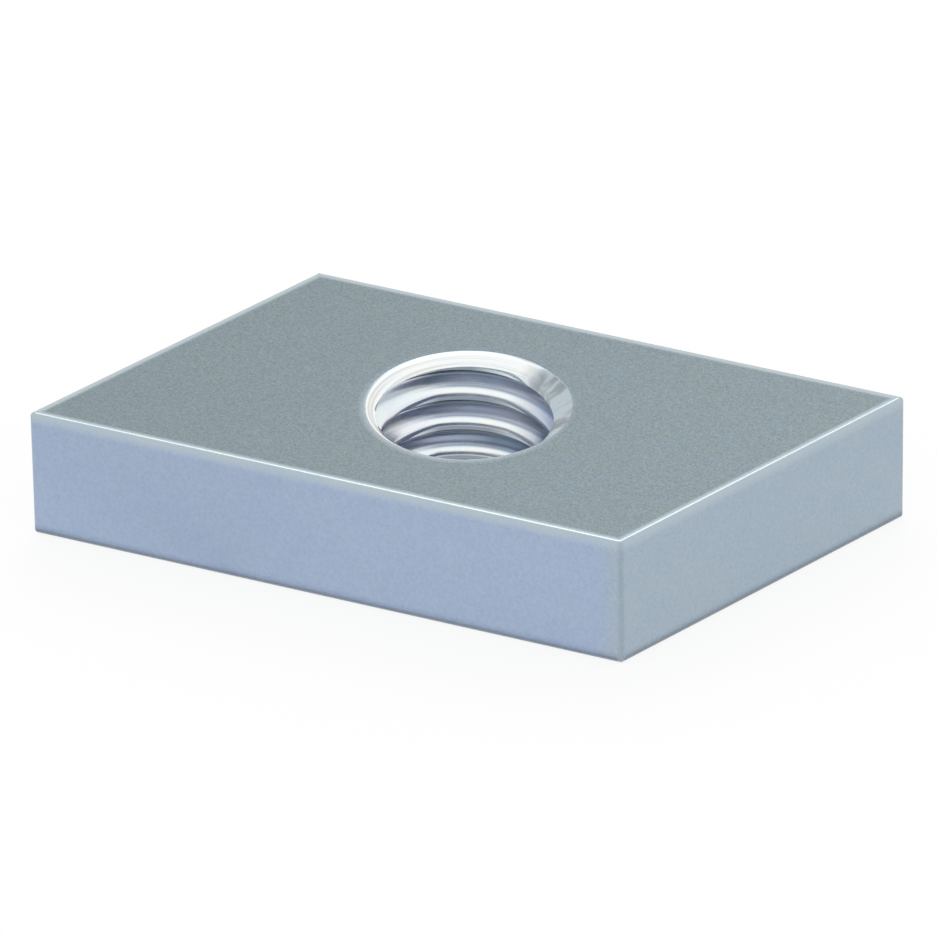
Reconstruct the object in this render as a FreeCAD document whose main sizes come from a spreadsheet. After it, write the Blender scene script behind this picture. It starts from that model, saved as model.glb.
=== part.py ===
"""Sliding nut: a rhomboid steel plate with one tapped hole, made as a single piece.

The plate is passed lengthwise through a rail's slot and turned clockwise until its
slanted ends meet the rail's side walls. A screw in the hole then clamps it there.
It is blanked from strip, pierced, countersunk, tumbled, tapped and plated.
Lengths are in millimetres and angles in degrees. The origin is at the centre of
the bottom face, +X runs along the long edges and +Z up along the thread.
"""
import FreeCAD, Part
import os
import Sketcher

NODE = "sliding_nut"

# Driving dimensions: name, value, what it is on the nut
SIZES = (
    ("thickness", 4.0, "plate, face to face"),
    ("width", 10.15, "across the two long edges, and passes through the slot"),
    ("long_edge", 18.2, "each long edge, corner to corner before rounding"),
    ("acute_angle", 66.0, "between a long edge and a slanted end"),
    ("edge_round", 0.1, "radius tumbled onto the plate's twelve edges"),
    ("thread_diameter", 6.0, "nominal, across the roots of the groove"),
    ("thread_pitch", 1.0, "rise of the thread in one turn"),
    ("thread_exit_angle", 20.0, "where the groove comes out of the top face, from +X"),
    ("countersink_diameter", 5.8, "where each countersink meets its face"),
    ("countersink_angle", 120.0, "between a countersink's opposite sides"),
    ("mouth_round", 0.1, "radius tumbled onto the countersinks' rims"),
)

# What follows from the driving dimensions, written as expressions on the sheet
CORNER_SHIFT = "sizes.width / 2 / tan(sizes.acute_angle * 1 deg)"
MOUTH_RADIUS = "sizes.countersink_diameter / 2"
ROOT_RADIUS = "sizes.thread_diameter / 2"
# A 60 degree thread's sharp triangle is sqrt(3)/2 of a pitch high. The nut's crests
# stand five eighths of that height in from the roots.
THREAD_DEPTH = "(5 / 8 * sqrt(3) / 2 * sizes.thread_pitch)"
CREST_RADIUS = f"({ROOT_RADIUS} - {THREAD_DEPTH})"
FLARE_DEPTH = f"({MOUTH_RADIUS} - {CREST_RADIUS}) / tan(sizes.countersink_angle / 2 * 1 deg)"
ROOT_FLAT = "(sizes.thread_pitch / 8)"
FLANK_LEAN = "30 deg"
# The groove's section reaches a little inside the crests, so that it cuts them cleanly
REACH_INSIDE = "(sizes.thread_pitch / 10)"
GROOVE_START = "(sizes.thickness + sizes.thread_pitch * (1 - sizes.thread_exit_angle / 360))"

# The hole is turned out one sector after another, so that each turn of the thread leaves
# its crest as short faces, each of them level enough to gauge the hole against
SECTOR_ANGLE = 90
FULL_TURN = 360

# The origin of a sketch is the start point, 1, of its horizontal axis, -1
ORIGIN = (-1, 1)

doc = FreeCAD.newDocument("SlidingNut")


def make_sheet():
    """Write every driving dimension once into a spreadsheet, under its own name."""
    sheet = doc.addObject("Spreadsheet::Sheet", "sizes")
    for row, (name, value, meaning) in enumerate(SIZES, start=1):
        sheet.set(f"A{row}", str(value))
        sheet.setAlias(f"A{row}", name)
        sheet.set(f"B{row}", meaning)
    doc.recompute()
    return sheet


def measure(expression):
    """Work an expression out as a plain number, in millimetres or degrees."""
    result = doc.sizes.evalExpression(expression)
    return getattr(result, "Value", result)


def add_sketch(body, name, role):
    """Add an empty sketch on one of the body's own origin planes."""
    plane = next(item for item in body.Origin.OriginFeatures if item.Role == role)
    sketch = body.newObject("Sketcher::SketchObject", name)
    sketch.AttachmentSupport = [(plane, "")]
    sketch.MapMode = "FlatFace"
    return sketch


def draw_line(sketch, start, end):
    return sketch.addGeometry(Part.LineSegment(FreeCAD.Vector(*start), FreeCAD.Vector(*end)))


def draw_outline(sketch, corners):
    """Draw straight lines from corner to corner and join them into a closed outline."""
    ends = corners[1:] + corners[:1]
    lines = [draw_line(sketch, start, end) for start, end in zip(corners, ends)]
    for line, following in zip(lines, lines[1:] + lines[:1]):
        rule(sketch, "Coincident", line, 2, following, 1)
    return lines


def rule(sketch, kind, *where):
    """Add a constraint that has no size."""
    sketch.addConstraint(Sketcher.Constraint(kind, *where))


def dimension(sketch, name, expression, kind, *where):
    """Add a constraint with a size, name it and bind it to the sheet."""
    value = measure(expression)
    if kind == "Angle":
        value = FreeCAD.Units.Quantity(f"{value} deg").getValueAs("rad").Value
    index = sketch.addConstraint(Sketcher.Constraint(kind, *where, value))
    sketch.renameConstraint(index, name)
    sketch.setExpression(f"Constraints.{name}", expression)


def add_feature(body, kind, name):
    """Add a feature that leaves neighbouring faces apart, even where they line up."""
    feature = body.newObject(f"PartDesign::{kind}", name)
    feature.Refine = False
    return feature


def add_blank(body):
    """Raise a parallelogram, centred on the hole's axis, to the plate's thickness."""
    half_edge = measure("sizes.long_edge / 2")
    half_width = measure("sizes.width / 2")
    shift = measure(CORNER_SHIFT)
    plan = add_sketch(body, "plan", "XY_Plane")
    corners = [
        (-half_edge - shift, -half_width),
        (half_edge - shift, -half_width),
        (half_edge + shift, half_width),
        (-half_edge + shift, half_width),
    ]
    front, right, back, left = draw_outline(plan, corners)
    rule(plan, "Horizontal", front)
    # opposite corners mirror each other through the centre, so opposite edges stay parallel
    rule(plan, "Symmetric", front, 1, back, 1, *ORIGIN)
    rule(plan, "Symmetric", right, 1, left, 1, *ORIGIN)
    dimension(plan, "long_edge", "sizes.long_edge", "Distance", front)
    dimension(plan, "width", "sizes.width", "DistanceY", right, 1, right, 2)
    dimension(plan, "acute_angle", "sizes.acute_angle * 1 deg", "Angle", *ORIGIN, right, 1)
    blank = add_feature(body, "Pad", "blank")
    blank.Profile = plan
    blank.setExpression("Length", "sizes.thickness")
    doc.recompute()
    return blank


def add_pierced_hole(body):
    """Turn out the hole: a bore as wide as the thread's crests, flared at both faces.

    One sector of it is turned out of the blank and then repeated round the axis.
    """
    thickness = measure("sizes.thickness")
    mouth = measure(MOUTH_RADIUS)
    crest = measure(CREST_RADIUS)
    flare = measure(FLARE_DEPTH)
    section = add_sketch(body, "hole_section", "XZ_Plane")
    corners = [
        (0, 0),
        (mouth, 0),
        (crest, flare),
        (crest, thickness - flare),
        (mouth, thickness),
        (0, thickness),
    ]
    base, lower_flare, wall, upper_flare, top, axis = draw_outline(section, corners)
    rule(section, "Coincident", base, 1, *ORIGIN)
    rule(section, "Horizontal", base)
    rule(section, "Horizontal", top)
    rule(section, "Vertical", axis)
    rule(section, "Vertical", wall)
    rule(section, "Equal", base, top)
    rule(section, "Equal", lower_flare, upper_flare)
    dimension(section, "thickness", "sizes.thickness", "Distance", axis)
    dimension(section, "mouth", MOUTH_RADIUS, "Distance", base)
    dimension(section, "crest", CREST_RADIUS, "DistanceX", *ORIGIN, wall, 1)
    dimension(section, "flare", FLARE_DEPTH, "DistanceY", *ORIGIN, wall, 1)
    sector = add_feature(body, "Groove", "hole_sector")
    sector.Profile = section
    sector.ReferenceAxis = (section, ["V_Axis"])
    sector.Angle = SECTOR_ANGLE
    doc.recompute()
    hole = add_feature(body, "PolarPattern", "pierced_hole")
    hole.Originals = [sector]
    hole.Axis = (section, ["V_Axis"])
    hole.Angle = FULL_TURN
    hole.Occurrences = FULL_TURN // SECTOR_ANGLE
    body.Tip = hole
    doc.recompute()
    return hole


def add_round(body, name, base, radius, is_wanted):
    """Round those edges of a feature for which is_wanted(edge) holds."""
    edges = enumerate(base.Shape.Edges, start=1)
    names = [f"Edge{number}" for number, edge in edges if is_wanted(edge)]
    fillet = add_feature(body, "Fillet", name)
    fillet.Base = (base, names)
    fillet.setExpression("Radius", radius)
    doc.recompute()
    return fillet


def is_straight(edge):
    return isinstance(edge.Curve, Part.Line)


def is_rim(edge):
    """A circle on the top or bottom face: the mouth of a countersink."""
    height = edge.CenterOfMass.z
    from_face = min(abs(height), abs(measure("sizes.thickness") - height))
    return not is_straight(edge) and from_face < 1e-6


def add_thread(body):
    """Cut the right-hand thread: a 60 degree groove swept down a helix through the hole.

    The groove starts above the top face and ends below the bottom face, so it runs
    out through both countersinks as a tap's groove does.
    """
    root = measure(ROOT_RADIUS)
    inside = measure(f"{CREST_RADIUS} - {REACH_INSIDE}")
    half_flat = measure(f"{ROOT_FLAT} / 2")
    half_mouth = half_flat + (root - inside) * measure(f"tan({FLANK_LEAN})")
    start = measure(GROOVE_START)
    section = add_sketch(body, "groove_section", "XZ_Plane")
    corners = [
        (inside, start - half_mouth),
        (root, start - half_flat),
        (root, start + half_flat),
        (inside, start + half_mouth),
    ]
    lower_flank, root_line, _, mouth_line = draw_outline(section, corners)
    middle = draw_line(section, (inside, start), (root, start))
    section.setConstruction(middle, True)
    rule(section, "Horizontal", middle)
    rule(section, "Vertical", root_line)
    rule(section, "Vertical", mouth_line)
    rule(section, "Symmetric", root_line, 1, root_line, 2, middle, 2)
    rule(section, "Symmetric", mouth_line, 1, mouth_line, 2, middle, 1)
    dimension(section, "root_flat", ROOT_FLAT, "Distance", root_line)
    dimension(section, "flank_lean", FLANK_LEAN, "Angle", *ORIGIN, lower_flank, 1)
    dimension(section, "root", ROOT_RADIUS, "DistanceX", *ORIGIN, middle, 2)
    dimension(section, "inside", f"{CREST_RADIUS} - {REACH_INSIDE}", "DistanceX", *ORIGIN, middle, 1)
    dimension(section, "start", GROOVE_START, "DistanceY", *ORIGIN, middle, 1)
    thread = add_feature(body, "SubtractiveHelix", "thread")
    thread.Profile = section
    thread.ReferenceAxis = (section, ["V_Axis"])
    thread.Mode = "pitch-height-angle"
    thread.LeftHanded = False
    thread.Reversed = True
    thread.setExpression("Pitch", "sizes.thread_pitch")
    thread.setExpression("Height", "sizes.thickness + 2 * sizes.thread_pitch")
    doc.recompute()
    return thread


def check(body, steps):
    """Stop if a feature failed, a step removed nothing, or the nut isn't one closed solid."""
    for item in doc.Objects:
        faults = [state for state in item.State if state in ("Invalid", "Error")]
        assert not faults, f"{item.Label}: {faults}"
    volumes = [step.Shape.Volume for step in steps]
    assert volumes == sorted(set(volumes), reverse=True), f"a step removed nothing: {volumes}"
    shape = body.Shape
    assert not shape.isNull() and shape.isValid(), f"{body.Label}: the shape isn't valid"
    assert len(shape.Solids) == 1, f"{body.Label}: {len(shape.Solids)} solids"


make_sheet()
nut = doc.addObject("PartDesign::Body", NODE)
nut.Label = NODE
nut.Placement = FreeCAD.Placement()
blank = add_blank(nut)
hole = add_pierced_hole(nut)
mouths = add_round(nut, "tumbled_mouths", hole, "sizes.mouth_round", is_rim)
edges = add_round(nut, "tumbled_edges", mouths, "sizes.edge_round", is_straight)
thread = add_thread(nut)
nut.Tip = thread
doc.recompute()
check(nut, (blank, hole, mouths, edges, thread))

os.makedirs("parts", exist_ok=True)
nut.Shape.exportStep(f"parts/{NODE}.step")
print(f"{NODE}: volume {nut.Shape.Volume:.2f} mm3")
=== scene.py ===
# %% [markdown]
# # A sliding nut, dressed for the camera
# The part is a rhomboid steel plate with a tapped hole, zinc plated. It is passed through
# a rail's slot and turned until its slanted ends meet the rail's walls. The CAD frame
# holds its true size. This lesson lays one surface over it, tighter and smoother than the
# CAD mesh, and gives each kind of skin its own finish: the rolled faces, the sheared
# sides, the tumbled edges, and the thread.

# %% Load the frame
import math

import bmesh
import bpy
import numpy as np
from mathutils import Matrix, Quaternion, Vector


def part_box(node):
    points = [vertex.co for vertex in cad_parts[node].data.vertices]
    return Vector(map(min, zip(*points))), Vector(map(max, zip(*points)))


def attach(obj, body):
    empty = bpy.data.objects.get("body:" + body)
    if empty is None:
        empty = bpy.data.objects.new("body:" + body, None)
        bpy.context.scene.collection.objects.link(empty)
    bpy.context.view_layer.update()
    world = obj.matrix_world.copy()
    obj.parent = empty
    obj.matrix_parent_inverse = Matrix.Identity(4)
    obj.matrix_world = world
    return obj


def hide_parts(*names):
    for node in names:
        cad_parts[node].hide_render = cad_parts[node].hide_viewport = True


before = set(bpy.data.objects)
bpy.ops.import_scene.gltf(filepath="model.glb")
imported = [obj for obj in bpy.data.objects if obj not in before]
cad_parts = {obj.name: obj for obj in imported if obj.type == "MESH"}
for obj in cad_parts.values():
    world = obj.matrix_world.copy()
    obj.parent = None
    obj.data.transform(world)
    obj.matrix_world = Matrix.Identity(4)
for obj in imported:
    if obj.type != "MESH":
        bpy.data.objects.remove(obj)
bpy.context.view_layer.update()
MM = 0.001

# %% [markdown]
# ## The sizes that shape the nut
# The plate's outer sizes are read from the frame, so the surface can never be larger than
# the CAD part. What a box can't tell is named here in millimetres: the slanted angle, the
# rounding that tumbling leaves on an edge, and the thread. The sharp parallelogram is
# recovered from its box, because a rounded acute corner stops short of the sharp one.

# %% Sizes
low, high = (np.array(corner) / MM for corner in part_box("sliding_nut"))
THICKNESS = high[2] - low[2]
WIDTH = high[1] - low[1]
ACUTE_ANGLE = math.radians(66)
EDGE_ROUND = 0.1
THREAD_DIAMETER = 6.0
PITCH = 1.0
THREAD_EXIT = math.radians(20)
COUNTERSINK_DIAMETER = 5.8
COUNTERSINK_ANGLE = math.radians(120)
MOUTH_ROUND = 0.1

# a 60 degree thread's sharp triangle is sqrt(3)/2 of a pitch high, and its crests stand
# five eighths of that height in from the roots
THREAD_DEPTH = 5 / 8 * math.sqrt(3) / 2 * PITCH
ROOT_RADIUS = THREAD_DIAMETER / 2
CREST_RADIUS = ROOT_RADIUS - THREAD_DEPTH
MOUTH_RADIUS = COUNTERSINK_DIAMETER / 2
CONE_SLOPE = (math.pi - COUNTERSINK_ANGLE) / 2
RIM_TANGENT = MOUTH_ROUND * math.tan(CONE_SLOPE / 2)
RIM_DEPTH = MOUTH_ROUND * (1 - math.cos(CONE_SLOPE))
print(f"plate {high[0] - low[0]:.2f} x {WIDTH:.2f} x {THICKNESS:.2f} mm, "
      f"bore at the crests {2 * CREST_RADIUS:.3f} mm")

# %% [markdown]
# ## The outline, as nested parallelograms
# Seen from above, the plate is a stack of parallelograms, one inside another: its sharp
# outline, the line where the edges begin to round off, and the rings of the faces. Each
# column of the mesh crosses them all at the same share of their sides, so the columns
# meet the corners along their mitre lines. A column needs a side, a share along it, and a
# bearing, the direction in which the surface faces there. On a straight side the share
# runs on and the bearing stays. At a corner the share stays and the bearing turns.

# %% Sides, shares and bearings
CORNER_STEP = math.radians(10)
SIDE_STEP = math.radians(1.15)
NEAR_CORNER = np.array([0, 0.02, 0.05, 0.09, 0.13, 0.18, 0.24, 0.32])
CORNER_GAP = 1.3 * NEAR_CORNER[-1]


def corners_at(inset):
    """Corners of the parallelogram at an inset from the sharp outline, front left first.

    The sharp half length follows from the box: an acute corner's round stops short of
    it by round / tan(half the angle) - round, seen along the long edges.
    """
    half_width = WIDTH / 2 - inset
    cut_back = EDGE_ROUND * (1 / math.tan(ACUTE_ANGLE / 2) - 1)
    reach = (high[0] - low[0]) / 2 + cut_back - inset / math.tan(ACUTE_ANGLE / 2)
    back_right = np.array([reach, half_width])
    shift = 2 * half_width / math.tan(ACUTE_ANGLE)
    front_right = back_right - np.array([shift, 2 * half_width])
    return np.array([-back_right, front_right, back_right, -front_right])


def columns():
    """Side, share along it, and bearing of every column, once round from the front side.

    Along a side, the bearing is the side's outward normal and the columns are spread
    evenly by their angle about the hole, with a few more close to each corner. At a
    corner the bearing turns in even steps.
    """
    corners = corners_at(EDGE_ROUND)
    sides, shares, bearings = [], [], []
    for number in range(4):
        start, end = corners[number], corners[(number + 1) % 4]
        length = np.linalg.norm(end - start)
        along = (end - start) / length
        outward = math.atan2(-along[0], along[1])
        normal = np.array([math.cos(outward), math.sin(outward)])
        distance = start @ normal
        first, last = np.arctan2([start @ along, end @ along], distance)
        spread = distance * np.tan(np.arange(first, last, SIDE_STEP)) - start @ along
        spread = spread[(spread > CORNER_GAP) & (spread < length - CORNER_GAP)]
        spread = np.r_[NEAR_CORNER, spread, length - NEAR_CORNER[::-1]] / length
        following = corners[(number + 2) % 4] - end
        turn = (math.atan2(-following[0], following[1]) - outward) % (2 * math.pi)
        steps = round(turn / CORNER_STEP)
        arc = outward + turn * np.arange(1, steps) / steps
        shares.append(np.r_[spread, np.ones(len(arc))])
        bearings.append(np.r_[np.full(len(spread), outward), arc])
        sides.append(np.full(len(spread) + len(arc), number))
    return np.concatenate(sides), np.concatenate(shares), np.concatenate(bearings)


sides, shares, bearings = columns()
# the first column is repeated one turn on, so that the thread can climb across the seam
sides = np.r_[sides, sides[:1]]
shares = np.r_[shares, shares[:1]]
bearings = np.r_[bearings, bearings[:1] + 2 * math.pi]
facing = np.stack([np.cos(bearings), np.sin(bearings)], axis=1)


def outline(inset):
    """Points of every column on the parallelogram at an inset: start plus share times side."""
    corners = corners_at(inset)
    starts, ends = corners[sides], corners[(sides + 1) % 4]
    return starts + shares[:, None] * (ends - starts)


edge = outline(EDGE_ROUND) + EDGE_ROUND * facing
angles = np.unwrap(np.arctan2(edge[:, 1], edge[:, 0]))
print(f"{len(angles) - 1} columns round the nut")

# %% [markdown]
# ## The wall of the hole, as one function of angle and height
# A tapped hole could be a helix swept through a cylinder, but a sweep leaves seams where
# the groove runs out through the countersinks. Here the wall's radius is the largest of
# three radii at each angle and height: the groove, the crest, and the countersink with
# its rounded rim. Taking the largest with a small blend between them gives every crest
# and every run-out the slight rounding that plating leaves on it.

# %% Radius of the wall
CREST_BLEND = 0.035
ROOT_BLEND = 0.05
RIM_BLEND = 0.012
FLANK_SLOPE = math.tan(math.radians(30))
ROOT_HALF_FLAT = PITCH / 16
CREST_EDGE = ROOT_HALF_FLAT + THREAD_DEPTH * FLANK_SLOPE


def larger(a, b, blend):
    """Smooth maximum: the mean of a and b plus half their distance, rounded near a = b."""
    return (a + b + np.sqrt((a - b) ** 2 + blend**2)) / 2


def smaller(a, b, blend):
    """Smooth minimum, by turning the smooth maximum upside down."""
    return -larger(-a, -b, blend)


def groove_offset(angle, height):
    """Height above the nearest middle of the groove, which climbs a pitch each turn."""
    middle = THICKNESS + PITCH * (angle - THREAD_EXIT) / (2 * math.pi)
    return (height - middle + PITCH / 2) % PITCH - PITCH / 2


def groove_radius(angle, height):
    """Radius of the thread: the root, less the distance past the root's flat over the
    flank's slope, and never less than the crest."""
    past_flat = (CREST_EDGE - np.abs(groove_offset(angle, height))) / FLANK_SLOPE
    cut = smaller(larger(past_flat, 0, CREST_BLEND), THREAD_DEPTH, ROOT_BLEND)
    return CREST_RADIUS + cut


def mouth_radius(depth):
    """Radius of a countersink at a depth below its face.

    It is a cone, the mouth's radius less the depth over the cone's slope. Near the face
    it follows the rim's round, an arc that starts on the cone and lies down onto the face.
    """
    below = np.clip(depth, 0, RIM_DEPTH)
    arc = MOUTH_RADIUS + RIM_TANGENT - np.sqrt(MOUTH_ROUND**2 - (MOUTH_ROUND - below) ** 2)
    return np.where(depth < RIM_DEPTH, arc, MOUTH_RADIUS - depth / math.tan(CONE_SLOPE))


def wall_radius(angle, height):
    """Radius of the wall: the largest of the thread and the two countersinks."""
    mouths = np.maximum(mouth_radius(THICKNESS - height), mouth_radius(height))
    return larger(groove_radius(angle, height), mouths, RIM_BLEND)


at_face, half_way = wall_radius(0, THICKNESS), wall_radius(0, THICKNESS / 2)
print(f"radius on the right: {at_face:.3f} mm at the face, {half_way:.3f} mm half way down")

# %% [markdown]
# ## Rows that climb with the thread
# If the rows were level, every crest would cross them and turn into a staircase. So each
# row starts at a chosen distance from the groove and climbs one pitch in one turn, as the
# thread does. Rows lie close together where the crest turns into the flank. The
# countersinks' inner ends are level, though, so each has a few level rows too. Every
# column then sorts its heights, and the two families of rows cross without a step. At the
# mouths the rows are pressed level, and what they lose there is merged afterwards.

# %% Heights of the thread's rows
PROFILE = np.array([0, 0.03, 0.05, 0.075, 0.11, 0.15, 0.19, 0.23,
                    0.27, 0.31, 0.34, 0.36, 0.38, 0.4, 0.43, 0.465])
CONE_DEPTH = (MOUTH_RADIUS - CREST_RADIUS) * math.tan(CONE_SLOPE)
LEVEL_DEPTHS = CONE_DEPTH + np.array([-0.1, -0.03, -0.012, 0, 0.012, 0.03])
RIM_STEPS = 5


def thread_rows():
    """Height of each thread row in each column.

    One pitch holds the profile's distances, and their mirror image below the groove.
    The pattern repeats for every turn, and is tilted by a pitch for each turn of angle.
    Level rows are added at the inner ends of the countersinks, and sorted in.
    """
    one_turn = np.r_[-0.5, -PROFILE[:0:-1], PROFILE]
    turns = np.arange(round(THICKNESS / PITCH) + 1)
    starts = PITCH * (turns[:, None] + one_turn).ravel()
    climb = PITCH * (angles - THREAD_EXIT) / (2 * math.pi)
    climbing = np.clip(starts[:, None] + climb, RIM_DEPTH, THICKNESS - RIM_DEPTH)
    levels = np.r_[LEVEL_DEPTHS, THICKNESS - LEVEL_DEPTHS]
    level = np.repeat(levels[:, None], len(angles), axis=1)
    return np.sort(np.concatenate([climbing, level]), axis=0)


def rim_rows():
    """Heights of the level rows on the top rim's round, in even steps of its turn."""
    tilts = CONE_SLOPE * np.linspace(1, 0, RIM_STEPS + 1)[1:]
    heights = THICKNESS - MOUTH_ROUND * (1 - np.cos(tilts))
    return np.repeat(heights[:, None], len(angles), axis=1)


rim = rim_rows()
heights = np.concatenate([THICKNESS - rim[::-1], thread_rows(), rim])
radii = wall_radius(angles, heights)
hole = np.stack([radii * np.cos(angles), radii * np.sin(angles), heights], axis=2)
print(f"{len(heights)} rows through the hole")

# %% [markdown]
# ## The faces, edges and sides
# The top face is a fan of rings that starts on the hole's rim and ends where the edges
# begin to round off. Rings crowd both ends, because the shading turns there. The rounded
# edges are the arc of a ball that rolls along the parallelogram inside, and the sides are
# level rings, crowded near both faces in the same way.

# %% Rings outside the hole
SOFT_WIDTH = 0.14
SOFT_DEPTH = 0.34
SOFT_INSETS = np.array([0.36, 0.34, 0.3, 0.26, 0.22, 0.19, 0.16, 0.13])
RIM_OFFSETS = np.array([0.02, 0.05, 0.09, 0.14, 0.2, 0.26, 0.32])
FAN_SHARES = np.array([0.1, 0.25, 0.4, 0.55, 0.7, 0.85])
ARC_STEPS = 6
SIDE_STEPS = 6


def ring(inset, outward, height):
    """The outline at an inset, moved out along the bearings, at a height."""
    flat = outline(inset) + outward * facing
    return np.column_stack([flat, np.full(len(flat), height)])


def face_rings(rim_points, height):
    """Rings from the rim out over a face: circles, then a fan, then the soft insets."""
    flat_rim = rim_points[:, :2]
    radius = np.hypot(*flat_rim.T)[:, None]
    circles = [flat_rim * (1 + offset / radius) for offset in RIM_OFFSETS]
    last = outline(SOFT_INSETS[0])
    fan = [circles[-1] + share * (last - circles[-1]) for share in FAN_SHARES]
    soft = [outline(inset) for inset in SOFT_INSETS]
    flat = np.array(circles + fan + soft)
    return np.concatenate([flat, np.full((*flat.shape[:2], 1), height)], axis=2)


def edge_ring(tilt):
    """A ring of the top edges' round, where the surface has tilted by an angle from level."""
    sunk = EDGE_ROUND * (1 - math.cos(tilt))
    return ring(EDGE_ROUND, EDGE_ROUND * math.sin(tilt), THICKNESS - sunk)


arc = np.array([edge_ring(tilt) for tilt in np.linspace(0, math.pi / 2, ARC_STEPS + 1)])
even_levels = np.linspace(0, THICKNESS, SIDE_STEPS + 1)[1:-1]
levels = np.r_[SOFT_INSETS[::-1], even_levels, THICKNESS - SOFT_INSETS]
side = np.array([ring(EDGE_ROUND, EDGE_ROUND, height) for height in levels[::-1]])
bottom_arc = arc[::-1] * np.array([1, 1, -1]) + np.array([0, 0, THICKNESS])
face = face_rings(hole[-1], THICKNESS)
bottom_face = face_rings(hole[0], 0)[::-1]
grid = np.concatenate([hole, face, arc, side, bottom_arc, bottom_face])
print("grid of", grid.shape[0], "rows and", grid.shape[1] - 1, "columns")

# %% [markdown]
# ## One closed skin
# The grid is closed both ways, like a ring. Where a column's corner points fall together,
# and where the seam meets itself, doubles are merged, which leaves one skin. It is closed
# but for one sliver: just under the top rim, one side of the seam has a point more than
# the other. The sliver is 0.03 mm long and less than a micron wide, and the print counts
# its three edges. Each face keeps the number of the region that its row came from: the
# hole, the two rolled faces, the rounded edges and the sides.

# %% Mesh
REGIONS = ("thread", "rolled_face", "tumbled_edge", "sheared_side")
MERGE_DISTANCE = 1e-5 * MM


def region_of_rows():
    """Region number of the strip above each row, as an array as long as the rows."""
    counts = (
        (2, RIM_STEPS),
        (0, len(hole) - 1 - 2 * RIM_STEPS),
        (2, RIM_STEPS),
        (1, len(face) + 1),
        (2, len(arc) - 1),
        (3, len(side) + 1),
        (2, len(bottom_arc) - 1),
        (1, len(bottom_face) + 1),
    )
    return np.concatenate([np.full(count, region) for region, count in counts])


def make_skin(name):
    """Turn the grid into a mesh: each cell is a quad, and the last row meets the first."""
    rows, count = grid.shape[:2]
    index = np.arange(rows * count).reshape(rows, count)
    above = np.roll(index, -1, axis=0)
    quads = np.stack([index[:, :-1], index[:, 1:], above[:, 1:], above[:, :-1]], axis=2)
    mesh = bpy.data.meshes.new(name)
    mesh.from_pydata(grid.reshape(-1, 3) * MM, [], quads.reshape(-1, 4).tolist())
    regions = np.repeat(region_of_rows(), count - 1)
    mesh.polygons.foreach_set("material_index", regions.astype(np.int32))
    mesh.polygons.foreach_set("use_smooth", np.ones(len(mesh.polygons), bool))
    skin = bmesh.new()
    skin.from_mesh(mesh)
    bmesh.ops.remove_doubles(skin, verts=skin.verts, dist=MERGE_DISTANCE)
    bmesh.ops.recalc_face_normals(skin, faces=skin.faces)
    open_edges = sum(not edge.is_manifold for edge in skin.edges)
    skin.to_mesh(mesh)
    skin.free()
    print(f"{name}: {len(mesh.vertices)} points, {len(mesh.polygons)} faces, {open_edges} open edges")
    piece = bpy.data.objects.new(name, mesh)
    bpy.context.scene.collection.objects.link(piece)
    return piece


nut = make_skin("plated_nut")

# %% [markdown]
# ## Distances from the six planes
# Both the shading and the finishes follow a point's distance from the plate's edges, so
# the six flat planes are written down once, each as its outward normal and its reach.

# %% Planes
SLANT_BEARING = ACUTE_ANGLE - math.pi / 2
slant = np.array([math.cos(SLANT_BEARING), math.sin(SLANT_BEARING), 0])
UP = np.array([0, 0, 1])
BACK = np.array([0, 1, 0])
PLANE_NORMALS = np.array([BACK, -BACK, slant, -slant, -UP, UP])
END_REACH = corners_at(0)[2] @ slant[:2]
PLANE_REACHES = np.array([WIDTH / 2, WIDTH / 2, END_REACH, END_REACH, 0, THICKNESS])


def plane_distances(points):
    """Distance inward from each of the six planes: its reach less the point along its normal."""
    return PLANE_REACHES - points @ PLANE_NORMALS.T


def read_points(mesh):
    """Points of a mesh, in millimetres."""
    points = np.empty(len(mesh.vertices) * 3, np.float32)
    mesh.vertices.foreach_get("co", points)
    return points.reshape(-1, 3).astype(float) / MM


def radius_and_angle(points):
    """Distance from the hole's axis, and angle about it from +X."""
    return np.hypot(points[:, 0], points[:, 1]), np.arctan2(points[:, 1], points[:, 0])


points = read_points(nut.data)
print(f"{len(points)} points between end faces {2 * END_REACH:.2f} mm apart")

# %% [markdown]
# ## Shading that turns before the metal does
# Plating and tumbling leave an edge burnished well past its round: the shine bends over
# a third of a millimetre although the metal itself turns within 0.1 mm. A wider round would
# blunt the outline, so the points keep their place and only their normals lean. Each
# plane pulls a point's normal, so that it leans evenly from nothing at the plane's soft
# width to half way between the two planes at the sharp edge. The faces reach further
# down the sides than the sides reach in over the faces.

# %% Pulls
SOFT_WIDTHS = np.array([SOFT_WIDTH] * 4 + [SOFT_DEPTH] * 2)
# the hole's wall lies deeper than ON_FACE, and no further out than PAST_ROOT past the root
ON_FACE = 1e-4
PAST_ROOT = 1e-3


def ramp(values, start, end):
    """0 at start, 1 at end, even between them and flat beyond."""
    return np.clip((values - start) / (end - start), 0, 1)


def pull(distance, width):
    """Weight of a surface at a distance: the tangent of 45 degrees on it, of 0 at the width."""
    return np.tan(math.pi / 4 * np.clip(1 - distance / width, 0, 1))


def face_depth(points):
    """Distance from the nearer face."""
    return np.minimum(points[:, 2], THICKNESS - points[:, 2])


def in_hole(points):
    """True on the hole's wall."""
    radius, _ = radius_and_angle(points)
    return (face_depth(points) > ON_FACE) & (radius < ROOT_RADIUS + PAST_ROOT)


on_wall = in_hole(points)
print(on_wall.sum(), "points lie on the hole's wall")

# %% [markdown]
# ## Normals in the hole
# A countersink's normal rises by the cone's slope from level towards the hole's axis, and
# the face pulls it beside the rim. In the thread the lean is read from a short table,
# because its crest is too narrow for two soft widths. Where the groove runs out, on the
# left and right of the hole, the tap has rubbed it flatter, so a second table takes over.

# %% Normals in the hole
SOFT_RIM = 0.2
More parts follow.
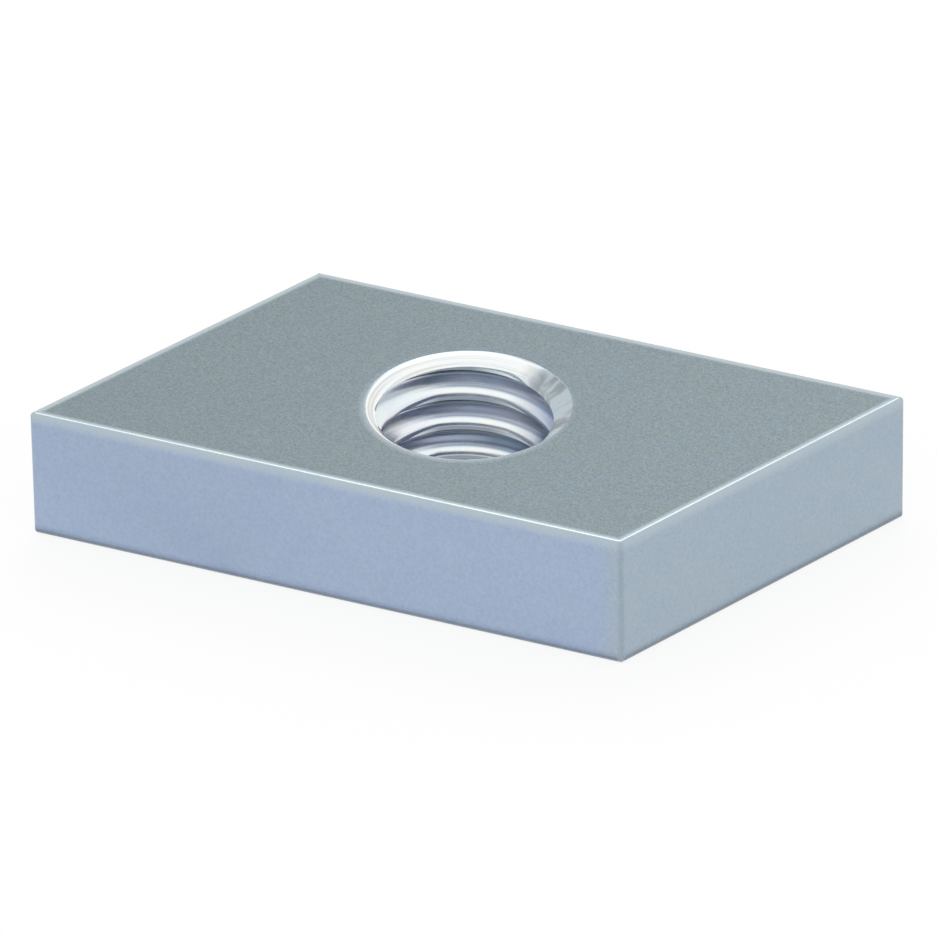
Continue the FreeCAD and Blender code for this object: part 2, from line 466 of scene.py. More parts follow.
# distance below the groove's middle, and the upward lean of the wall's normal there, on
# the front and back of the hole and on its left and right
LEAN_PLACES = np.array([-0.5, -0.375, -0.25, -0.12, -0.06, 0, 0.06, 0.12, 0.2, 0.25, 0.375, 0.5]) * PITCH
LEANS = np.radians([0, -30, -60, -60, -45, 0, 45, 57, 53, 48, 30, 0])
SIDE_LEANS = np.radians([42, 30, -50, -60, -45, 0, 45, 52, 52, 54, 62, 42])
# each pair says where a share is 0 and where it is 1: cosines of the angle from a bearing
# for the sides and the spread of the chatter and its painted shade, and millimetres for the
# other two
SIDEWAYS = (0.4, 0.9)
CHATTER_SHADE_BEARING = math.radians(5)
CHATTER_SHADE_SPREAD = (0.3, 0.65)
CHATTER_SHADE_DEPTH = (0.7, 0.5)
CONE_FADE = (-0.02, 0.02)


def sideways(angle):
    """0 on the front and back of the hole, 1 on its left and right, where the groove runs out."""
    return ramp(np.abs(np.cos(angle - THREAD_EXIT)), *SIDEWAYS)


def thread_normals(points, inward):
    """Normals of the thread: inward, and leaning by what the tables say."""
    _, angle = radius_and_angle(points)
    offset = groove_offset(angle, points[:, 2])
    plain, side = (np.interp(-offset, LEAN_PLACES, leans) for leans in (LEANS, SIDE_LEANS))
    lean = plain + sideways(angle) * (side - plain)
    return np.cos(lean)[:, None] * inward + np.sin(lean)[:, None] * UP


def chatter_shade_share(points):
    """1 near the faces on the right, where the cutter left chatter and the colour is darkened as painted
    shade, and 0 away from there.
    """
    _, angle = radius_and_angle(points)
    across = ramp(np.cos(angle - CHATTER_SHADE_BEARING), *CHATTER_SHADE_SPREAD)
    return ramp(face_depth(points), *CHATTER_SHADE_DEPTH) * across


def cone_share(points):
    """1 where a point of the hole's wall lies on a countersink, 0 where it lies on the thread."""
    _, angle = radius_and_angle(points)
    mouth = mouth_radius(face_depth(points))
    return ramp(mouth - groove_radius(angle, points[:, 2]), *CONE_FADE)


def cone_normals(points, inward, up):
    """Normals of the countersinks: up, tilted inward by the cone's slope, and the face's pull."""
    radius, _ = radius_and_angle(points)
    cone = math.sin(CONE_SLOPE) * inward + math.cos(CONE_SLOPE) * up
    below_rim = (MOUTH_RADIUS + RIM_TANGENT - radius) / math.cos(CONE_SLOPE)
    cone = cone + pull(below_rim, SOFT_RIM)[:, None] * up
    return cone / np.linalg.norm(cone, axis=1)[:, None]


print((cone_share(points[on_wall]) == 1).sum(), "of them lie on a countersink")

# %% [markdown]
# ## Leaning the normals
# The normals could be left to Blender, which averages the faces around a point, or bent by
# a modifier that copies them from a simpler shape. Writing them from the formulas above
# keeps them exact. On the countersinks' right side, where the cutter chattered, they lean
# towards the face as well.

# %% Leaning normals


def leaning_normals(points):
    """Normals that lean towards every surface nearby.

    Outside the hole a normal is the sum of the planes' normals times their pulls. In the
    hole it is a mix of the cone's and the thread's, by the cone's share, plus the face's
    normal times the chatter's share.
    """
    radius, _ = radius_and_angle(points)
    up = np.where(points[:, 2] > THICKNESS / 2, 1.0, -1.0)[:, None] * UP
    inward = np.column_stack([-points[:, :2] / radius[:, None], np.zeros(len(points))])
    share = cone_share(points)[:, None]
    wall = share * cone_normals(points, inward, up) + (1 - share) * thread_normals(points, inward)
    wall = wall + chatter_shade_share(points)[:, None] * up
    flat = pull(plane_distances(points), SOFT_WIDTHS) @ PLANE_NORMALS
    lean = np.where(in_hole(points)[:, None], wall, flat)
    return lean / np.linalg.norm(lean, axis=1)[:, None]


def lean_normals(mesh):
    """Give a mesh its leaning normals, and say how far they lean from the plain ones."""
    plain = np.array([vertex.normal for vertex in mesh.vertices])
    normals = leaning_normals(read_points(mesh))
    mesh.normals_split_custom_set_from_vertices(normals.tolist())
    turned = np.degrees(np.arccos(np.clip((normals * plain).sum(axis=1), -1, 1)))
    print(f"normals lean by up to {turned.max():.1f} degrees")


lean_normals(nut.data)

# %% [markdown]
# ## What the plate's finishes need to know
# A finish that follows the metal needs numbers on the mesh. Each is worked out from a
# point's place alone, and kept as an attribute that a material reads by its name:
#
# - `burnish_and_sheen` rises to 1 where tumbling has smoothed the metal: in the hole, beside
#   the faces' edges, down the top of the sides, on the two acute upright edges and,
#   fainter, round the rim. Where it lightens the colour, that is painted sheen, and round
#   the rim a painted highlight that fades out towards one bearing
# - `edge_shade` rises to 1 along the two obtuse upright edges, and nearly as high along the
#   foot of the sides, where the colour is darkened as painted shade
# - `slanted_end` is 1 on the slanted ends, and fades out past the obtuse upright edges; it
#   carries the ends' greyer tint, which is painted light

# %% Numbers for the plate
# the painted highlight round the rim fades out towards the first bearing, and the second number is its
# strength
DIM_RIM_BEARING = math.radians(85)
RIM_SHEEN_STRENGTH = 0.2
# strength of the painted shade along the foot of the sides
FOOT_SHADE = 0.8
# distances between which a number rises from 0 to 1
FOOT_HEIGHT = (0.36, 0.2)
FOOT_DEPTH = (0.15, 0.1)
PAST_END = (0.6, 0.15)


def plate_numbers(points):
    """Every number that the plate's finishes read, for each point."""
    gaps = plane_distances(points)
    long_gap, end_gap = gaps[:, :2].min(axis=1), gaps[:, 2:4].min(axis=1)
    side_gap, face_gap = np.minimum(long_gap, end_gap), gaps[:, 4:].min(axis=1)
    radius, angle = radius_and_angle(points)
    height = points[:, 2]
    upright = ramp(np.maximum(long_gap, end_gap), SOFT_WIDTH, 0)
    acute = points[:, 0] * points[:, 1] > 0
    # painted highlight round the rim: none at one bearing, strongest opposite it
    rim_sheen = RIM_SHEEN_STRENGTH * (1 - np.cos(angle - DIM_RIM_BEARING))
    rim = rim_sheen * ramp(radius - MOUTH_RADIUS - RIM_TANGENT, SOFT_RIM, 0)
    # beside the edges the lighter colour is painted sheen on metal that tumbling smoothed
    over_face = np.maximum(ramp(side_gap, 2 * SOFT_WIDTH, EDGE_ROUND), rim)
    down_side = ramp(face_gap, SOFT_DEPTH, EDGE_ROUND) * (height > THICKNESS / 2)
    down_side = np.maximum(down_side, upright * acute)
    outside = np.where(side_gap < face_gap, down_side, over_face)
    # painted shade along the foot of the sides, darker towards the bottom
    foot = FOOT_SHADE * ramp(height, *FOOT_HEIGHT) * ramp(side_gap, *FOOT_DEPTH)
    return {
        "burnish_and_sheen": np.where(in_hole(points), 1, outside),
        "edge_shade": np.maximum(upright * ~acute, foot),
        "slanted_end": np.maximum(end_gap < long_gap, ramp(end_gap, *PAST_END) * ~acute),
    }


def write_numbers(mesh, numbers):
    """Keep each array of numbers as an attribute of the mesh's points."""
    for name, values in numbers.items():
        layer = mesh.attributes.new(name, "FLOAT", "POINT")
        layer.data.foreach_set("value", values.astype(np.float32))
        print(f"{name}: from {values.min():.3f} to {values.max():.3f}")


write_numbers(nut.data, plate_numbers(points))

# %% [markdown]
# ## What the thread's finish needs to know
# The light reaches the thread's turns unevenly, and its finish paints that light and
# shade into the colour, so it reads its own numbers:
#
# - `profile` is the distance below the middle of the groove, in millimetres, and on the
#   countersinks that of a flank painted white, a painted reflection
# - `chatter_shade` rises to 1 on the right of the countersinks, where the cutter left chatter and
#   where their colour is darkened as painted shade
# - `pale_light` and `blue_shade` rise to 1 on the left and right of the hole, where the thread's bands
#   fade into a pale grey of painted light and a blue of painted shade
# - `white_highlight` rises to 1 on the first flank, on the left, and on the first crest, on the
#   right, and less on the crests below it: a painted highlight
# - `shaded` rises to 1 half way down the flanks on the right, and in the last turn
# - `turned` is 1 on the countersinks, which keep faint rings from their cutter

# %% Numbers for the thread
# place along a pitch whose painted white, a painted reflection, the countersinks are given
PAINTED_WHITE_PLACE = 0.34
CREST_HIGHLIGHT = 0.4
# Each pair says where a number is 0 and where it is 1, and a pair of pairs is a band that
# rises and then falls. Bearings are cosines of the angle from the groove's exit, 1 on the
# right and -1 on the left. Turns are counted down the thread from the exit, and places
# are shares of a pitch below the groove's middle.
PALE_BEARING = (-0.37, -0.66)
FLANK_BEARING = (-0.2, -0.8)
FLANK_TURNS = ((1.06, 1.16), (1.39, 1.37))
CREST_BEARINGS = ((0, 0.45), (0.8, 0.65))
CREST_TURNS = (0.66, 0.6)
LOWER_CREST_BEARING = (0.2, 0.5)
LOWER_CREST_PLACE = (0.34, 0.4)
SHADE_BEARING = (0.5, 0.8)
SHADE_PLACES = ((0.14, 0.19), (0.27, 0.24))
LAST_BEARING = (-0.25, 0.2)
LAST_TURNS = (2.5, 2.8)
LAST_PLACES = ((0.06, 0.1), (0.27, 0.22))


def band(values, ends):
    """Product of a ramp that rises where the band starts and one that falls where it ends."""
    return ramp(values, *ends[0]) * ramp(values, *ends[1])


def thread_numbers(points):
    """Every number that the thread's finish reads, for each point."""
    _, angle = radius_and_angle(points)
    on_cone = cone_share(points)
    wall = in_hole(points)
    thread = wall * (1 - on_cone)
    below = -groove_offset(angle, points[:, 2])
    place = below / PITCH
    bearing = np.cos(angle - THREAD_EXIT)
    climbed = (angle - THREAD_EXIT) % (2 * math.pi) / (2 * math.pi)
    turns = (THICKNESS - points[:, 2]) / PITCH + climbed
    # painted highlight on the first flank, the first crest and, fainter, the crests below
    first_flank = ramp(bearing, *FLANK_BEARING) * band(turns, FLANK_TURNS)
    first_crest = band(bearing, CREST_BEARINGS) * ramp(turns, *CREST_TURNS)
    crests = ramp(bearing, *LOWER_CREST_BEARING) * ramp(np.abs(place), *LOWER_CREST_PLACE)
    crest_highlights = np.maximum(first_crest, CREST_HIGHLIGHT * crests)
    flanks = ramp(bearing, *SHADE_BEARING) * band(place, SHADE_PLACES)
    last_turn = ramp(bearing, *LAST_BEARING) * ramp(turns, *LAST_TURNS) * band(place, LAST_PLACES)
    return {
        "profile": on_cone * PAINTED_WHITE_PLACE + (1 - on_cone) * below,
        "chatter_shade": wall * chatter_shade_share(points),
        # painted light on the left of the hole, and painted blue shade on the right
        "pale_light": thread * ramp(bearing, *PALE_BEARING),
        "blue_shade": thread * sideways(angle) * (bearing > 0),
        "white_highlight": np.maximum(first_flank, (1 - on_cone) * crest_highlights),
        "shaded": thread * np.maximum(flanks, last_turn),
        "turned": wall * on_cone,
    }


write_numbers(nut.data, thread_numbers(points))

# %% [markdown]
# ## Small helpers for shader nodes
# A material is a graph. It could be drawn by hand in the shader editor, but as code it can
# be read and repeated, and it reads best when a node and its links are made in one line.

# %% Node helpers


def add_node(tree, kind, inputs=None, **settings):
    """Make a node, set its properties, then set or link each of its inputs."""
    node = tree.nodes.new(kind)
    for key, value in settings.items():
        setattr(node, key, value)
    for key, value in (inputs or {}).items():
        if isinstance(value, bpy.types.NodeSocket):
            tree.links.new(value, node.inputs[key])
        else:
            node.inputs[key].default_value = value
    return node


def maths(tree, operation, *values):
    """One sum on numbers."""
    return add_node(tree, "ShaderNodeMath", dict(enumerate(values)), operation=operation).outputs[0]


def vector_maths(tree, operation, inputs):
    """One sum on vectors. It gives all outputs, because a length is the second of them."""
    return add_node(tree, "ShaderNodeVectorMath", inputs, operation=operation).outputs


def mix(tree, factor, a, b, blend_type="MIX"):
    """Mix two colours by a factor."""
    inputs = {0: factor, 6: a, 7: b}
    node = add_node(tree, "ShaderNodeMix", inputs, data_type="RGBA", blend_type=blend_type)
    return node.outputs[2]


def fade(tree, value, start, end):
    """0 before start, 1 after end, and a smooth step between."""
    inputs = {0: value, 1: start, 2: end, 3: 0.0, 4: 1.0}
    return add_node(tree, "ShaderNodeMapRange", inputs, interpolation_type="SMOOTHSTEP").outputs[0]


def noise(tree, place, scale, detail, **settings):
    """Noise at a place, as numbers around a half."""
    inputs = {"Vector": place, "Scale": scale, "Detail": detail, **settings}
    return add_node(tree, "ShaderNodeTexNoise", inputs).outputs["Fac"]


def object_place(tree):
    """Where a point lies on the nut, in metres, wherever the nut itself lies."""
    return add_node(tree, "ShaderNodeTexCoord").outputs["Object"]


print("written for the socket numbers of Blender", bpy.app.version_string)

# %% [markdown]
# ## Plating grain, shared by every finish
# Zinc grows on steel in tiny crystals, so a plated face sparkles in fine speckles and
# drifts slowly between cooler and warmer greys. A picture of plating could be wrapped
# round the nut, but noise on Object coordinates needs no unfolded skin and stays sharp
# close up. There are two noises, at two scales. The group gives a colour, the plain one
# made lighter and darker by the grain, and a height for the bump.

# %% Plating grain
PER_MM = 1000
# the middle of a noise's values, over which it passes from one tone to the other
NOISE_MIDDLE = (0.35, 0.65)
GREY = (0.3, 0.3, 0.3, 1)


def new_group(name, inputs, outputs):
    """A node group with named sockets. Each is given as name, kind and value."""
    tree = bpy.data.node_groups.new(name, "ShaderNodeTree")
    for socket, kind, value in inputs:
        made = tree.interface.new_socket(name=socket, in_out="INPUT", socket_type=kind)
        made.default_value = value
    for socket, kind in outputs:
        tree.interface.new_socket(name=socket, in_out="OUTPUT", socket_type=kind)
    return tree, tree.nodes.new("NodeGroupInput").outputs, tree.nodes.new("NodeGroupOutput")


def make_grain_group():
    """Node group: a tone between cool and warm by the patches, times 1 plus the speckle's swing."""
    sockets = [
        ("Cool", "NodeSocketColor", GREY),
        ("Warm", "NodeSocketColor", GREY),
        ("Speckle", "NodeSocketFloat", 0.1),
        ("Speckle Size", "NodeSocketFloat", 0.06),
        ("Patch Size", "NodeSocketFloat", 1.0),
    ]
    results = [("Color", "NodeSocketColor"), ("Height", "NodeSocketFloat")]
    group, inputs, outputs = new_group("plating_grain", sockets, results)
    place = object_place(group)
    fine_scale = maths(group, "DIVIDE", PER_MM, inputs["Speckle Size"])
    patch_scale = maths(group, "DIVIDE", PER_MM, inputs["Patch Size"])
    fine = noise(group, place, fine_scale, detail=2.0, Roughness=0.6)
    patch = noise(group, place, patch_scale, detail=1.0)
    tone = mix(group, fade(group, patch, *NOISE_MIDDLE), inputs["Cool"], inputs["Warm"])
    swing = maths(group, "MULTIPLY", maths(group, "SUBTRACT", fine, 0.5), inputs["Speckle"])
    shade = maths(group, "ADD", swing, 1.0)
    scaled = vector_maths(group, "SCALE", {0: tone, "Scale": shade})[0]
    group.links.new(scaled, outputs.inputs["Color"])
    group.links.new(fine, outputs.inputs["Height"])
    return group


grain_group = make_grain_group()
print("shared effect:", grain_group.name)

# %% [markdown]
# ## A plated metal, ready for its colour
# The four skins are one metal under the same plating, so they share a start: a Principled
# shader at full metallic, a grain with its own colours, and a shallow bump from the same
# grain. Roughness and bump are what tell a rolled face from a tumbled edge. Colours are
# written as they look on a screen and turned into the linear values that a shader wants.

# %% Plated metal
RELIEF = 0.004


def linear(red, green, blue):
    """A screen colour, 0 to 255, as linear light: the sRGB curve undone."""
    screen = np.array([red, green, blue]) / 255
    light = np.where(screen <= 0.04045, screen / 12.92, ((screen + 0.055) / 1.055) ** 2.4)
    return (*light.tolist(), 1.0)


def grain(cool, warm, speckle, speckle_size=0.09, patch_size=1.2):
    """Inputs for the grain group: two screen colours, a strength, and two sizes in millimetres."""
    return {
        "Cool": linear(*cool),
        "Warm": linear(*warm),
        "Speckle": speckle,
        "Speckle Size": speckle_size,
        "Patch Size": patch_size,
    }


def use_grain(tree, inputs):
    """Place the grain group in a material, and give its outputs."""
    return add_node(tree, "ShaderNodeGroup", inputs, node_tree=grain_group).outputs


def new_material(name, roughness, bump, skin):
    """A metal with a bump, ready for its colour: returns the tree, its shader and its grain."""
    material = bpy.data.materials.new(name)
    material.use_nodes = True
    tree = material.node_tree
    tree.nodes.clear()
    output = tree.nodes.new("ShaderNodeOutputMaterial")
    shader = add_node(tree, "ShaderNodeBsdfPrincipled", {"Metallic": 1.0, "Roughness": roughness})
    tree.links.new(shader.outputs[0], output.inputs["Surface"])
    plated = use_grain(tree, skin)
    inputs = {"Strength": bump, "Distance": RELIEF * MM, "Height": plated["Height"]}
    relief = add_node(tree, "ShaderNodeBump", inputs)
    tree.links.new(relief.outputs[0], shader.inputs["Normal"])
    print("finish:", name)
    return tree, shader, plated["Color"]


print("a middle grey on screen is", round(linear(128, 128, 128)[0], 3), "of white in light")

# %% [markdown]
# ## Painted sheen, or painted shade
# Nuts that tumble together in a drum rub each other's edges smooth. A finish paints sheen
# beside the edges as a lighter colour, and paints shade on some of them as a darker one. A
# material could look for edges by itself, but it would find them only to the width of a
# facet. The numbers on the mesh say it exactly, so a finish mixes two grains by them and
# lowers its roughness in step.

# %% Burnishing
BURNISHED_ROUGHNESS = 0.24
# tint of the painted shade on the obtuse upright edges and the foot of the sides
EDGE_SHADE_TINT = (0.84, 0.85, 0.87, 1)


def multiply(tree, factor, a, b):
    """Multiply a colour by another, as far as the factor says."""
    return mix(tree, factor, a, b, blend_type="MULTIPLY")


def attribute(tree, name):
    """One of the numbers that the mesh keeps for its points."""
    return add_node(tree, "ShaderNodeAttribute", attribute_name=name).outputs["Fac"]


def finish_skin(tree, shader, colour, roughness, bright):
    """Pass into the smoother skin with its painted sheen where the mesh says so, and darken with painted
    shade where it says so.
    """
    # the bright grain is painted sheen, and the roughness drops with it
    near = attribute(tree, "burnish_and_sheen")
    blend = mix(tree, near, colour, use_grain(tree, bright)["Color"])
    # painted shade on the obtuse upright edges and the foot of the sides
    blend = multiply(tree, attribute(tree, "edge_shade"), blend, EDGE_SHADE_TINT)
    tree.links.new(blend, shader.inputs["Base Color"])
    smoother = maths(tree, "MULTIPLY", near, BURNISHED_ROUGHNESS - roughness)
    tree.links.new(maths(tree, "ADD", smoother, roughness), shader.inputs["Roughness"])


numbers = [layer.name for layer in nut.data.attributes if layer.data_type == "FLOAT"]
print("a material can read", numbers)

# %% [markdown]
# ## The plate's three skins
# The rolled faces are dull and greenish grey, and drift a little paler from left to right.
# The sheared sides are smoother and bluer, and the slanted ends are given a greyer tint,
# which is painted light. Towards the plate's edges both pass into a smoother skin, lighter
# with painted sheen, which the rounded edges have all over. Each could be a flat colour,
# but it is the passing of one into the next that makes an edge look worn smooth and lit.

# %% Finishes of the plate
ROLLED_ROUGHNESS = 0.5
SHEARED_ROUGHNESS = 0.4
DRIFT_REACH = 10
DRIFT = (0.96, 1.08)
# painted light: a greyer tint for the slanted ends, which face the light another way
END_LIGHT_TINT = (1.03, 1.02, 0.89, 1)


def make_rolled_face():
    """Finish of the two faces, with a slow drift from left to right."""
    skin = grain((130, 143, 149), (131, 143, 147), speckle=0.95, speckle_size=0.06, patch_size=0.6)
    # the bright grain paints sheen beside the edges
    bright = grain((190, 202, 207), (192, 203, 206), speckle=0.08)
    tree, shader, colour = new_material("rolled_face", ROLLED_ROUGHNESS, bump=0.3, skin=skin)
    across = add_node(tree, "ShaderNodeSeparateXYZ", {0: object_place(tree)}).outputs["X"]
    ends = {1: -DRIFT_REACH * MM, 2: DRIFT_REACH * MM, 3: DRIFT[0], 4: DRIFT[1]}
    drift = add_node(tree, "ShaderNodeMapRange", {0: across, **ends}).outputs[0]
    colour = vector_maths(tree, "SCALE", {0: colour, "Scale": drift})[0]
    finish_skin(tree, shader, colour, ROLLED_ROUGHNESS, bright)


def make_sheared_side():
    """Finish of the long sides and, under a tint of painted light, of the slanted ends."""
    skin = grain((167, 184, 209), (169, 185, 209), speckle=0.3)
    # the bright grain paints sheen beside the edges
    bright = grain((176, 190, 202), (178, 191, 201), speckle=0.08)
    tree, shader, colour = new_material("sheared_side", SHEARED_ROUGHNESS, bump=0.15, skin=skin)
    # the ends' greyer tint is painted light
    colour = multiply(tree, attribute(tree, "slanted_end"), colour, END_LIGHT_TINT)
    finish_skin(tree, shader, colour, SHEARED_ROUGHNESS, bright)


def make_tumbled_edge():
    """Finish of the rounded edges: smooth all over, and lighter with painted sheen."""
    skin = grain((176, 190, 200), (180, 192, 199), speckle=0.08)
    tree, shader, colour = new_material("tumbled_edge", BURNISHED_ROUGHNESS, bump=0.1, skin=skin)
    finish_skin(tree, shader, colour, BURNISHED_ROUGHNESS, skin)


make_rolled_face()
make_sheared_side()
make_tumbled_edge()

# %% [markdown]
# ## The thread's skin
# The thread's highlights and shade are painted into its colour. On each lower flank two
# bands are painted nearly white as highlights, with a band of painted shade between. The
# upper flanks are painted greyer, the roots dark as painted shade, and the crests, which the
# tap never touches, dull grey. A picture of the hole would need unrolling, while a colour
# ramp over the profile says it in one table and follows the thread all the way down. The
# left and right of the hole then pass into painted light and painted blue shade of their own.

# %% Tints of the thread
# distance below the groove's middle in pitches, and the share of light that is kept there,
# which paints the thread's highlights and shade
THREAD_PAINTED_LIGHT = (
    (-0.5, (0.34, 0.38, 0.44)),
    (-0.42, (0.32, 0.36, 0.43)),
    (-0.38, (0.3, 0.34, 0.4)),
    (-0.35, (0.2, 0.23, 0.28)),
    (-0.3, (0.6, 0.65, 0.76)),
    (-0.09, (0.6, 0.65, 0.76)),
    (-0.04, (0.24, 0.29, 0.32)),
    (0.02, (0.22, 0.26, 0.32)),
    (0.05, (0.27, 0.3, 0.36)),
    (0.08, (0.68, 0.7, 0.8)),
    (0.12, (0.96, 0.92, 1.0)),
    (0.17, (1.0, 0.97, 1.0)),
    (0.21, (0.82, 0.84, 0.96)),
    (0.24, (0.43, 0.48, 0.59)),
    (0.265, (0.34, 0.39, 0.48)),
    (0.3, (0.88, 0.94, 1.0)),
    (0.32, (1.0, 1.0, 1.0)),
    (0.365, (1.0, 1.0, 1.0)),
    (0.4, (0.52, 0.57, 0.6)),
    (0.44, (0.7, 0.72, 0.74)),
    (0.47, (0.34, 0.38, 0.44)),
    (0.5, (0.34, 0.38, 0.44)),
)


def add_ramp(tree, value, stops):
    """A colour ramp through stops, each a place between -0.5 and 0.5 and a tint."""
    node = add_node(tree, "ShaderNodeValToRGB", {0: maths(tree, "ADD", value, 0.5)})
    marks = node.color_ramp.elements
    for place, _ in stops[1:-1]:
        marks.new(place + 0.5)
    for mark, (_, tint) in zip(marks, stops):
        mark.color = (*tint, 1)
    return node.outputs[0]


# strength of the painted light on the hole's left and the painted blue shade on its right
SIDE_STRENGTH = 0.8
SIDE_LIGHT_TINTS = {"pale_light": (0.95, 0.94, 1, 1), "blue_shade": (0.34, 0.38, 0.54, 1)}
HIGHLIGHT_TINT = (0.92, 0.97, 1, 1)
SHADED_TINT = (0.46, 0.54, 0.6, 1)


def add_thread_painted_light(tree):
    """Painted highlights and shade by the profile, passing into the painted light and shade of each
    place in the hole.
    """
    place = maths(tree, "DIVIDE", attribute(tree, "profile"), PITCH)
    tints = add_ramp(tree, place, THREAD_PAINTED_LIGHT)
    for side, tint in SIDE_LIGHT_TINTS.items():
        tints = mix(tree, maths(tree, "MULTIPLY", attribute(tree, side), SIDE_STRENGTH), tints, tint)
    # painted highlight
    tints = mix(tree, attribute(tree, "white_highlight"), tints, HIGHLIGHT_TINT)
    return multiply(tree, attribute(tree, "shaded"), tints, SHADED_TINT)


print(len(THREAD_PAINTED_LIGHT), "tints along a pitch")

# %% [markdown]
# ## Marks of the cutter, and painted shade
# The cutter that turned the countersinks left faint rings all round, and on the right, where
# it left chatter, grey streaks that run out from the axis. Their grey also darkens that side
# of the countersinks as painted shade. Both are noise, and only its coordinates differ.
# Noise at a point's direction from the middle of the base gives streaks. With that direction
# lifted by the distance from the axis, many times over, the noise varies far more from ring
# to ring than along one.

# %% Finish of the thread
# greys of the streaks, darker than the countersinks' white as painted shade
CHATTER_SHADE_GREYS = ((0.27, 0.31, 0.32, 1), (0.48, 0.55, 0.6, 1))
STREAKS = 14.0
RINGS_PER_MM = 14
RING_FADE = (0.5, 0.72)
RING_TINT = (0.8, 0.78, 0.76, 1)


def add_streaks(tree, spoke):
    """Greys that streak out from the axis, their grey a painted shade as well: noise at a point's
    direction.
    """
    streaks = fade(tree, noise(tree, spoke, STREAKS, detail=2.0), *NOISE_MIDDLE)
    return mix(tree, streaks, *CHATTER_SHADE_GREYS)


def add_rings(tree, place, spoke):
    """Mask of rings: noise at a point's direction, lifted by its distance from the axis."""
    flat = vector_maths(tree, "MULTIPLY", {0: place, 1: (1, 1, 0)})[0]
    radius = vector_maths(tree, "LENGTH", {0: flat})["Value"]
    lift = maths(tree, "MULTIPLY", radius, RINGS_PER_MM * PER_MM)
    lifted = add_node(tree, "ShaderNodeCombineXYZ", {"Z": lift}).outputs[0]
    rings = noise(tree, vector_maths(tree, "ADD", {0: spoke, 1: lifted})[0], 1.0, detail=1.0)
    return maths(tree, "MULTIPLY", fade(tree, rings, *RING_FADE), attribute(tree, "turned"))


def make_thread():
    """Finish of the hole: the thread's painted highlights and shade, then the marks of the cutter with
    their painted shade.
    """
    skin = grain((244, 249, 250), (248, 250, 247), speckle=0.06, speckle_size=0.12)
    tree, shader, colour = new_material("thread", roughness=0.2, bump=0.1, skin=skin)
    # the thread's painted highlights and shade
    colour = multiply(tree, 1.0, colour, add_thread_painted_light(tree))
    place = object_place(tree)
    spoke = vector_maths(tree, "NORMALIZE", {0: place})[0]
    # grey streaks, with painted shade, on the countersinks' right
    colour = mix(tree, attribute(tree, "chatter_shade"), colour, add_streaks(tree, spoke))
    colour = multiply(tree, add_rings(tree, place, spoke), colour, RING_TINT)
    tree.links.new(colour, shader.inputs["Base Color"])


make_thread()

# %% [markdown]
# ## Dress the nut
# The mesh numbers its regions, so the finishes are handed over in that order.

# %% Hand the finishes to the mesh
for name in REGIONS:
    nut.data.materials.append(bpy.data.materials[name])
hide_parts("sliding_nut")
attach(nut, "root")
print("dressed in", [slot.name for slot in nut.material_slots])

# %% [markdown]
# ## A white table
# The nut lies on a plain white table. A photographer would sweep a sheet of paper up
# behind it. One flat square is enough here, because the sky is as white as the table. A
# lit table would go grey under the nut, so most of what the camera and the metal see of it
# is plain white light, and the rest keeps a faint shadow.

# %% Table
TABLE_SIZE = 0.6
TABLE_DROP = 0.02
TABLE_GREY = 0.93
PLAIN_SHARE = 0.85
WHITE = (1, 1, 1, 1)


def make_table():
    """A flat square as one face, a hair under the nut's base."""
    half = TABLE_SIZE / 2
    square = [(-half, -half), (half, -half), (half, half), (-half, half)]
    corners = [(x, y, -TABLE_DROP * MM) for x, y in square]
    mesh = bpy.data.meshes.new("table")
    mesh.from_pydata(corners, [], [(0, 1, 2, 3)])
    table = bpy.data.objects.new("table", mesh)
    bpy.context.scene.collection.objects.link(table)
    material = bpy.data.materials.new("white_table")
    material.use_nodes = True
    tree = material.node_tree
    tree.nodes.clear()
    lit = add_node(tree, "ShaderNodeBsdfDiffuse", {"Color": (TABLE_GREY,) * 3 + (1,)}).outputs[0]
    plain = add_node(tree, "ShaderNodeEmission", {"Color": WHITE, "Strength": 1.0}).outputs[0]
    ray = tree.nodes.new("ShaderNodeLightPath").outputs
    seen = maths(tree, "MAXIMUM", ray["Is Camera Ray"], ray["Is Glossy Ray"])
    seen = maths(tree, "MAXIMUM", seen, ray["Is Transmission Ray"])
    share = maths(tree, "MULTIPLY", seen, PLAIN_SHARE)
    blend = add_node(tree, "ShaderNodeMixShader", {0: share, 1: lit, 2: plain}).outputs[0]
    output = tree.nodes.new("ShaderNodeOutputMaterial")
    tree.links.new(blend, output.inputs["Surface"])
    table.data.materials.append(material)
    print(f"table {TABLE_SIZE} m wide")


make_table()

# %% [markdown]
# ## Soft light
# An even white sky alone would make the metal flat, so a softbox behind the nut, high up,
# draws the bright line along the front edges and lights the countersink's far side. A lamp
# is placed by its azimuth, counted from the front round to the right, and its elevation,
# as a photographer would say it. Its power is worked out from how bright it should look,
# so that its size can change without changing that.

# %% Sky and softbox


def direction(azimuth, elevation):
    """Unit vector towards an azimuth and elevation in radians: sine and cosine of each."""
    return Vector((
        math.sin(azimuth) * math.cos(elevation),
        -math.cos(azimuth) * math.cos(elevation),
        math.sin(elevation),
    ))


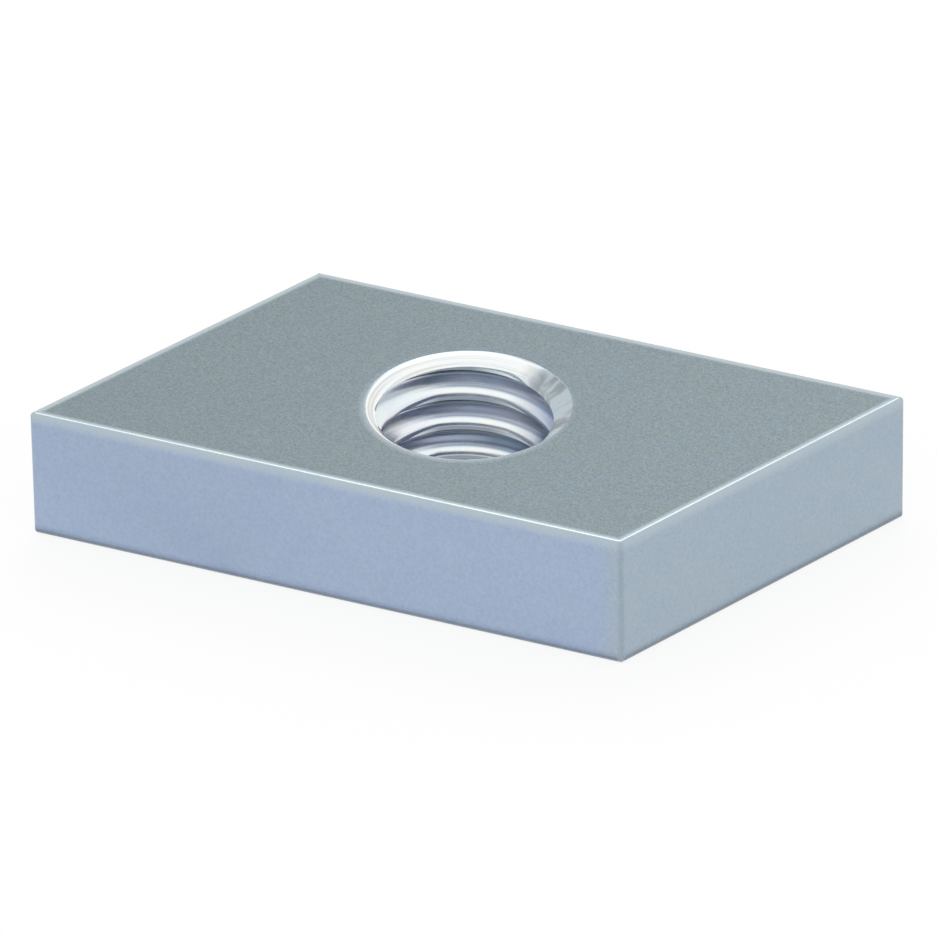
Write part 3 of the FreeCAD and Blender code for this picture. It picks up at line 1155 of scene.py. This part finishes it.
def add_softbox(name, azimuth, elevation, distance, size, radiance):
    """A square lamp that faces the nut. Its power is radiance times area times pi."""
    lamp = bpy.data.lights.new(name, "AREA")
    lamp.size = size
    lamp.energy = radiance * size**2 * math.pi
    box = bpy.data.objects.new(name, lamp)
    towards = direction(math.radians(azimuth), math.radians(elevation))
    box.location = towards * distance
    box.rotation_euler = towards.to_track_quat("Z", "Y").to_euler()
    bpy.context.scene.collection.objects.link(box)
    print(f"{name}: {lamp.energy:.3f} W")


def make_sky():
    """A world of plain white."""
    world = bpy.data.worlds.new("even_sky")
    bpy.context.scene.world = world
    world.use_nodes = True
    sky = world.node_tree.nodes["Background"]
    sky.inputs["Color"].default_value = WHITE
    sky.inputs["Strength"].default_value = 1.0


make_sky()
add_softbox("back_softbox", azimuth=198, elevation=57, distance=0.5, size=0.26, radiance=1.45)
bpy.context.scene.view_settings.view_transform = "Standard"

# %% [markdown]
# ## The camera
# The photograph was taken from the front right, about 32 degrees above the table, through
# a long lens: the plate's far edges are hardly shorter than its near ones. The values come
# from fitting the plate's known edges to the picture.

# %% Camera
CAMERA_AZIMUTH = math.radians(23.799)
CAMERA_ELEVATION = math.radians(32.23)
CAMERA_ROLL = math.radians(-0.931)
CAMERA_DISTANCE = 0.33196
CAMERA_AIM = Vector((0.095, -0.175, 2.0)) * MM
LENS = 449.2


def make_camera():
    """Stand back from the aim along azimuth and elevation, look at it, then roll."""
    back = direction(CAMERA_AZIMUTH, CAMERA_ELEVATION)
    data = bpy.data.cameras.new("camera")
    data.lens = LENS
    data.clip_start = 0.01
    data.clip_end = 10
    camera = bpy.data.objects.new("camera", data)
    camera.rotation_mode = "QUATERNION"
    camera.location = CAMERA_AIM + back * CAMERA_DISTANCE
    level = (-back).to_track_quat("-Z", "Y")
    camera.rotation_quaternion = level @ Quaternion((0, 0, 1), CAMERA_ROLL)
    bpy.context.scene.collection.objects.link(camera)
    bpy.context.scene.camera = camera
    print("camera at", [round(value, 4) for value in camera.location])


make_camera()
